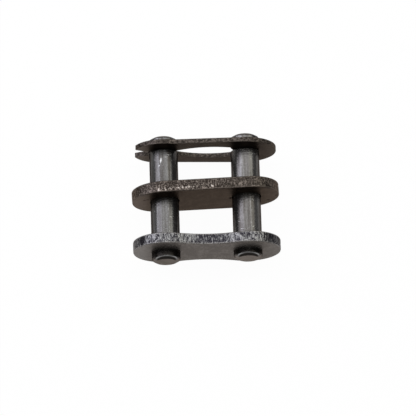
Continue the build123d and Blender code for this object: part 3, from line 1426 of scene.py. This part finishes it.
    def outer_border(self, tip: np.ndarray, on_open_end: np.ndarray) -> np.ndarray:
        """Outer border: the open end, a hollow blend, the straight flank and the closed end's circle.

        The flank touches the closed end's circle and one of radius flank_half about the left neck. The
        blend touches the flank and the open end from outside.

        Args:
            tip: Outer half of the tip's arc.
            on_open_end: Where that arc touches the open end.

        Returns:
            Points, shape (n, 2).
        """
        neck, end = np.array((-self.half_pitch, 0.0)), np.array((self.end_centre, 0.0))
        lean = math.asin((self.end_radius - self.flank_half) / (self.end_centre + self.half_pitch))
        along = np.array((math.cos(lean), math.sin(lean)))
        normal = np.array((-along[1], along[0]))
        hollow = self.blend_radius
        side = math.sqrt((self.open_radius + hollow) ** 2 - (self.flank_half + hollow) ** 2)
        blend = neck + normal * (self.flank_half + hollow) + along * side
        on_circle = neck + (blend - neck) * self.open_radius / (self.open_radius + hollow)
        on_flank, on_end = blend - normal * hollow, end + normal * self.end_radius
        return joined(
            tip,
            self.swept(neck, on_open_end, on_circle),
            self.swept(blend, on_circle, on_flank),
            line_points(on_flank, on_end, self.spacing),
            self.swept(end, on_end, end + np.array((self.end_radius, 0.0))),
        )

    def swept(self, centre: np.ndarray, start: np.ndarray, end: np.ndarray) -> np.ndarray:
        """Arc about a centre from one point to another, the shorter way round.

        Args:
            centre: Centre of the arc.
            start: Its first point.
            end: Its last point.

        Returns:
            Points, shape (n, 2).
        """
        first = angle_of(start - centre)
        last = first + half_turn(angle_of(end - centre) - first)
        return arc_points(tuple(centre), float(np.linalg.norm(start - centre)), first, last, self.spacing)

    def three_point_arc(self, start: np.ndarray, top: np.ndarray, end: np.ndarray) -> np.ndarray:
        """Arc through three points, about the point equally far from all.

        Args:
            start: Its first point.
            top: A point between.
            end: Its last point.

        Returns:
            Points, shape (n, 2).
        """
        sides = 2 * np.array((top - start, end - start))
        squares = np.array((top @ top - start @ start, end @ end - start @ start))
        return self.swept(np.linalg.solve(sides, squares), start, end)

    def matched(self, inner: np.ndarray, outer: np.ndarray) -> tuple[np.ndarray, np.ndarray]:
        """Pair the two borders.

        Both are cut where x passes the stations, and each stretch gets the same number of even points.

        Args:
            inner: Inner border.
            outer: Outer border.

        Returns:
            Both borders, with as many points as each other.
        """
        cuts: list[list[float]] = []
        for border, places in zip((inner, outer), zip(*self.stations)):
            s = lengths_along(border)
            cut = [0.0]
            for place in places:
                past = np.nonzero((border[:, 0] >= place) & (s > cut[-1]))[0]
                cut.append(float(s[past[0]]))
            cuts.append(cut + [float(s[-1])])
        pieces: tuple[list[np.ndarray], list[np.ndarray]] = ([], [])
        for n in range(len(self.stations) + 1):
            spans = [cut[n + 1] - cut[n] for cut in cuts]
            count = max(self.least_points, math.ceil(max(spans) / self.spacing))
            for border, cut, piece in zip((inner, outer), cuts, pieces):
                at = np.linspace(cut[n], cut[n + 1], count)
                piece.append(points_at(border, at if n == 0 else at[1:]))
        return np.concatenate(pieces[0]), np.concatenate(pieces[1])

    def make(self, finish: BlankedSteel) -> bpy.types.Object:
        """Carry a closed cross-section along the loop, and dress it.

        The cross-section runs over the front face from the inner border to the outer one, round the outer
        edge, over the back face and round the inner edge. The lower half mirrors the upper one.

        Args:
            finish: Its finish.

        Returns:
            The piece.
        """
        low, high = box_of(self.node)
        thickness = high[1] - low[1]
        level = (low[2] + high[2]) / 2
        inner, outer = self.borders()
        inner_out, outer_out = normals_of(inner), -normals_of(outer)
        inner_out[-1], outer_out[-1] = (-1.0, 0.0), (1.0, 0.0)
        inner_out[0] = outer_out[0] = unit(inner[0] - self.tip()[0])
        band = EdgeBand(thickness, self.rounding, self.edge_rows, EdgeTear.FINE, self.relief)
        _, depths, share = band.profile()
        outer_at, outer_tear = band.carried(outer, outer_out)
        inner_at, inner_tear = band.carried(inner, inner_out)

        t = ACROSS_SHARES[None, :, None]
        front = inner_at[:, :1] + (outer_at[:, :1] - inner_at[:, :1]) * t
        back = outer_at[:, -1:] + (inner_at[:, -1:] - outer_at[:, -1:]) * t
        across = np.concatenate((front, outer_at, back, inner_at[:, ::-1]), axis=1)
        flat = np.zeros(len(ACROSS_SHARES))
        depth = np.concatenate((flat, depths, flat + thickness, depths[::-1]))
        edge = np.concatenate((flat, share, flat, share[::-1]))
        smooth = np.zeros((len(inner), len(flat)))
        tear = np.concatenate((smooth, outer_tear, smooth, inner_tear[:, ::-1]), axis=1)
        marks = {"edge": edge[None], "tear": tear, "rim": (4 * edge * (1 - edge))[None]}
        shell = Shell(f"{self.node}_steel")
        for side in (1.0, -1.0):
            parts = (across[..., 0], low[1] + depth, level + side * across[..., 1])
            shell.add(np.stack(np.broadcast_arrays(*parts), axis=-1), (False, True), marks)
        return dressed(shell.build(), finish.material(), self.node, "clip")


def dressed(
    obj: bpy.types.Object, material: bpy.types.Material, node: str, body: str
) -> bpy.types.Object:
    """Give a piece its material and its body, and hide the CAD node that it stands for.

    Args:
        obj: The piece.
        material: Its material.
        node: CAD node that it replaces.
        body: Body that it rides on.

    Returns:
        The piece.
    """
    obj.data.materials.append(material)
    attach(obj, body)
    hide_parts(node)
    LOG.info("%s: %d faces on body %s", obj.name, len(obj.data.polygons), body)
    return obj


# Surroundings


def turned(right: Vector, up: Vector, back: Vector, place: Vector) -> Matrix:
    """Matrix that lays an object's axes along three directions, at a place in metres."""
    return Matrix.Translation(place) @ Matrix((right, up, back)).transposed().to_4x4()


@dataclass(frozen=True)
class Floor:
    """A plain pale floor that darkens far away from the link.

    Attributes:
        reach: Half its side, in millimetres.
        drop: Its depth under the link.
        pale: Its colour round the link.
        far: Its colour far away.
        pale_reach: Radius up to which it is pale.
        far_reach: Radius from which it has its far colour.
        roughness: Its roughness.
        glow: Share of plain white that the camera, metal and glass see in its pale part; the rest takes
            the link's shadow.
    """

    reach: float = 1500.0
    drop: float = 0.004
    pale: float = 0.93
    far: float = 0.3
    pale_reach: float = 50.0
    far_reach: float = 90.0
    roughness: float = 0.9
    glow: float = 0.97

    def material(self) -> bpy.types.Material:
        """Build its material: matt, and plain white to what the glow names.

        Returns:
            The material.
        """
        made, g = new_material("pale_floor")
        fade = g.vector("LENGTH", g.place()).ramp(self.pale_reach * MM, self.far_reach * MM)
        colour = g.blend(fade, grey(self.pale), grey(self.far))
        base = {"Base Color": colour, "Roughness": self.roughness}
        matt = g.node("ShaderNodeBsdfPrincipled", {}, base)
        white = g.node("ShaderNodeEmission", {}, {"Color": grey(1.0), "Strength": 1.0})
        ray = g.node("ShaderNodeLightPath")
        seen = [Wire(g, ray.outputs[f"Is {kind} Ray"]) for kind in ("Camera", "Glossy", "Transmission")]
        share = (seen[0] + seen[1] + seen[2]) * (1 - fade) * self.glow
        shaders = {0: share, 1: Wire(g, matt.outputs["BSDF"]), 2: Wire(g, white.outputs["Emission"])}
        mixed = g.node("ShaderNodeMixShader", {}, shaders)
        g.node("ShaderNodeOutputMaterial", {}, {"Surface": Wire(g, mixed.outputs["Shader"])})
        return made

    def make(self) -> bpy.types.Object:
        """Build the floor just under the link.

        Returns:
            The floor.
        """
        mesh = bpy.data.meshes.new("pale_floor")
        r, z = self.reach * MM, -self.drop * MM
        mesh.from_pydata([(-r, -r, z), (r, -r, z), (r, r, z), (-r, r, z)], [], [(0, 1, 2, 3)])
        floor = in_scene("pale_floor", mesh)
        mesh.materials.append(self.material())
        return floor


@dataclass(frozen=True)
class Softbox:
    """A soft lamp that faces the link.

    Attributes:
        name: Name of the lamp.
        across: Angle of its middle from the vertical, towards +X, in degrees.
        back: Angle of its middle from the vertical, towards +Y, in degrees.
        width: Width along the arch, in millimetres.
        depth: Depth along the pins, in millimetres.
        level: Brightness of its face, where 1 shows as white.
        tint: Its colour.
        distance: Distance from the link, in millimetres.
    """

    name: str
    across: float
    back: float
    width: float
    depth: float
    level: float
    tint: Place = (1.0, 1.0, 1.0)
    distance: float = 300.0

    def make(self) -> bpy.types.Object:
        """Build the lamp.

        Returns:
            The lamp.
        """
        data = bpy.data.lights.new(self.name, "AREA")
        data.shape = "RECTANGLE"
        data.size, data.size_y = self.width * MM, self.depth * MM
        data.energy = self.level * math.pi * data.size * data.size_y
        data.color = self.tint
        a, b = math.radians(self.across), math.radians(self.back)
        out = Vector((math.sin(a) * math.cos(b), math.sin(b), math.cos(a) * math.cos(b)))
        right = Vector((math.cos(a), 0.0, -math.sin(a)))
        place = out * self.distance * MM + Vector((0, 0, AXIS_HEIGHT * MM))
        lamp = in_scene(self.name, data)
        lamp.matrix_world = turned(right, out.cross(right), out, place)
        lamp.visible_camera = False
        return lamp


@dataclass(frozen=True)
class PhotoCamera:
    """The camera, at the photograph's angle.

    Attributes:
        azimuth: Turn round the link: 0 looks along +Y, 90 along -X, in degrees.
        elevation: Height above the horizon, in degrees.
        roll: Turn about the line of sight, in degrees.
        scale: Pixels a millimetre at the target.
        distance: Distance from the target, in millimetres.
        target: Point that the pixel shows, in millimetres.
        pixel: Where the target shows in the image, from its upper left corner.
        sensor: Width of the sensor, in Blender's own millimetres.
        reach: Nearest and furthest distance that it sees, in metres.
    """

    azimuth: float = -7.19
    elevation: float = 71.706
    roll: float = 5.802
    scale: float = 6.443
    distance: float = 833.0
    target: Place = (0.0, -0.604, AXIS_HEIGHT)
    pixel: tuple[float, float] = (205.604, 202.728)
    sensor: float = 36.0
    reach: tuple[float, float] = (0.01, 20.0)

    def make(self) -> bpy.types.Object:
        """Build the camera.

        Returns:
            The camera.
        """
        a, e, r = (math.radians(v) for v in (self.azimuth, self.elevation, self.roll))
        ahead = Vector((-math.sin(a) * math.cos(e), math.cos(a) * math.cos(e), -math.sin(e)))
        level_up = Vector((-math.sin(a) * math.sin(e), math.cos(a) * math.sin(e), math.cos(e)))
        level_right = ahead.cross(level_up)
        right = level_right * math.cos(r) + level_up * math.sin(r)
        up = level_up * math.cos(r) - level_right * math.sin(r)
        half = IMAGE_SIDE / 2
        aim = Vector(self.target)
        aim += right * ((half - self.pixel[0]) / self.scale) + up * ((self.pixel[1] - half) / self.scale)
        data = bpy.data.cameras.new("photo_camera")
        data.sensor_width = self.sensor
        data.lens = self.scale * self.distance * data.sensor_width / IMAGE_SIDE
        data.clip_start, data.clip_end = self.reach
        camera = in_scene("photo_camera", data)
        camera.matrix_world = turned(right, up, -ahead, (aim - ahead * self.distance) * MM)
        bpy.context.scene.camera = camera
        return camera


def make_world(level: float) -> None:
    """Give the room a plain dim grey light.

    Args:
        level: Its brightness, where 1 is white.
    """
    world = bpy.data.worlds.new("dim_room")
    world.use_nodes = True
    g = Graph(world.node_tree)
    room = g.node("ShaderNodeBackground", {}, {"Color": grey(1.0), "Strength": level})
    g.node("ShaderNodeOutputWorld", {}, {"Surface": Wire(g, room.outputs[0])})
    bpy.context.scene.world = world


LAMPS = (
    Softbox("overhead_softbox", 0.0, 17.0, width=340.0, depth=170.0, level=2.3),
    Softbox("left_softbox", -52.0, 15.0, width=220.0, depth=150.0, level=3.4, tint=(0.97, 0.965, 1.07)),
    Softbox("right_softbox", 43.5, 15.0, width=150.0, depth=150.0, level=2.1, tint=(1.02, 1.01, 0.9)),
    Softbox("front_softbox", 0.0, -34.0, width=240.0, depth=90.0, level=1.4),
)
ROOM_LEVEL = 0.27


# The link and its finishes

OUTER_PLATE_STEEL = BlankedSteel(
    "dark_hardened_steel",
    face=grey(0.165, 0.1),
    face_stain=grey(0.09, 0.12),
    rim=grey(0.27, 0.05),
    painted_light_colour=grey(0.24, 0.05),
    ridge=grey(0.24, 0.0),
    pit=(0.015, 0.014, 0.019, 1.0),
    grit=0.6,
)
COVER_PLATE_STEEL = BlankedSteel(
    "brown_black_steel",
    face=grey(0.042, 0.3),
    face_stain=grey(0.014, 0.3),
    rim=grey(0.09, 0.2),
    painted_light_colour=grey(0.13, 0.16),
    ridge=grey(0.15, 0.18),
    pit=grey(0.014, 0.25),
    edge_roughness=0.4,
    graze=0.46,
    graze_warmth=0.16,
    dents=(
        Dent((-9.5, -0.46, 6.3), (0.3, 0.4, 0.14)),
        Dent((-9.05, -0.44, 6.57), (0.3, 0.4, 0.14)),
        # A dark, rough spot beside the right pin, where it passes through the plate.
        Dent((3.9, 0.07, 5.15), (0.3, 0.4, 0.42)),
        Dent((9.85, 0.31, 3.15), (0.42, 0.4, 0.24)),
        Dent((11.05, 0.36, 5.35), (0.32, 0.4, 0.2)),
    ),
)
CLIP_STEEL = BlankedSteel(
    "spring_steel",
    face=grey(0.034, 0.25),
    face_stain=grey(0.012, 0.28),
    rim=grey(0.09, 0.2),
    painted_light_colour=grey(0.13, 0.14),
    ridge=grey(0.1, 0.18),
    pit=grey(0.014, 0.2),
    edge_roughness=0.4,
    graze=0.44,
    graze_warmth=0.12,
)
LEFT_PIN_STEEL = GroundSteel(
    "left_pin_steel", shank=grey(0.124, 0.0), shade=grey(0.043, 0.1), end=grey(0.21, 0.08)
)
RIGHT_PIN_STEEL = GroundSteel(
    "right_pin_steel", shank=grey(0.154, 0.01), shade=grey(0.052, 0.1), end=grey(0.24, 0.08)
)

# Nicks: place along Y, angle from the top, slant, half length, half width and strength
LEFT_PIN_NICKS = (
    Nick(5.75, -13.0, 8.0, 0.48, 0.17, 0.9),
    Nick(4.9, -20.0, 30.0, 0.16, 0.1, 0.9),
    Nick(6.35, -16.0, 4.0, 0.35, 0.07, -0.9),
    Nick(5.3, -20.0, -6.0, 0.3, 0.06, -0.6),
    Nick(-2.2, 12.0, 25.0, 0.2, 0.06, 0.5),
    Nick(2.6, 28.0, -20.0, 0.16, 0.06, 0.6),
)
RIGHT_PIN_NICKS = (
    Nick(-4.75, 12.0, 50.0, 0.34, 0.06, 0.8),
    Nick(-5.0, 8.0, 48.0, 0.42, 0.09, -0.9),
    Nick(-5.25, 22.0, 56.0, 0.26, 0.06, 0.7),
    Nick(-5.35, 14.0, 40.0, 0.24, 0.06, -0.7),
    Nick(-5.55, 3.0, 62.0, 0.22, 0.05, 0.6),
    Nick(4.4, -6.0, 15.0, 0.2, 0.05, 0.5),
)


@dataclass
class ConnectingLink:
    """The whole link.

    Attributes:
        outer_plate: Waisted plate that carries the pins.
        cover_plate: Straight-sided plate, a little skewed on the pins.
        clip: Spring clip in the necks of the pins.
        pins: Left and right pin.
    """

    outer_plate: Plate = field(
        default_factory=lambda: Plate(
            node="outer_plate",
            body="link",
            slot="outer_plate_steel",
            kind=OutlineKind.WAISTED,
            tear=EdgeTear.STREAKED,
            hole_radius=2.215,
        )
    )
    cover_plate: Plate = field(
        default_factory=lambda: Plate(
            node="cover_plate",
            body="cover",
            slot="cover_plate_steel",
            kind=OutlineKind.STRAIGHT,
            tear=EdgeTear.GRAINED,
            hole_radius=2.295,
            skew=2.3,
        )
    )
    clip: SpringClip = field(default_factory=SpringClip)
    pins: tuple[Pin, Pin] = (Pin("left_pin", LEFT_PIN_NICKS), Pin("right_pin", RIGHT_PIN_NICKS))

    def make(self) -> None:
        """Build and dress every piece."""
        self.outer_plate.make(OUTER_PLATE_STEEL)
        self.cover_plate.make(COVER_PLATE_STEEL)
        self.clip.make(CLIP_STEEL)
        for pin, finish in zip(self.pins, (LEFT_PIN_STEEL, RIGHT_PIN_STEEL)):
            pin.make(finish)


def main() -> None:
    """Build the link, its surroundings, the lamps and the camera."""
    logging.basicConfig(level=logging.INFO, format="%(name)s: %(message)s")
    bpy.context.scene.view_settings.view_transform = "Standard"
    ConnectingLink().make()
    Floor().make()
    for lamp in LAMPS:
        lamp.make()
    make_world(ROOM_LEVEL)
    PhotoCamera().make()


if __name__ == "__main__":
    main()
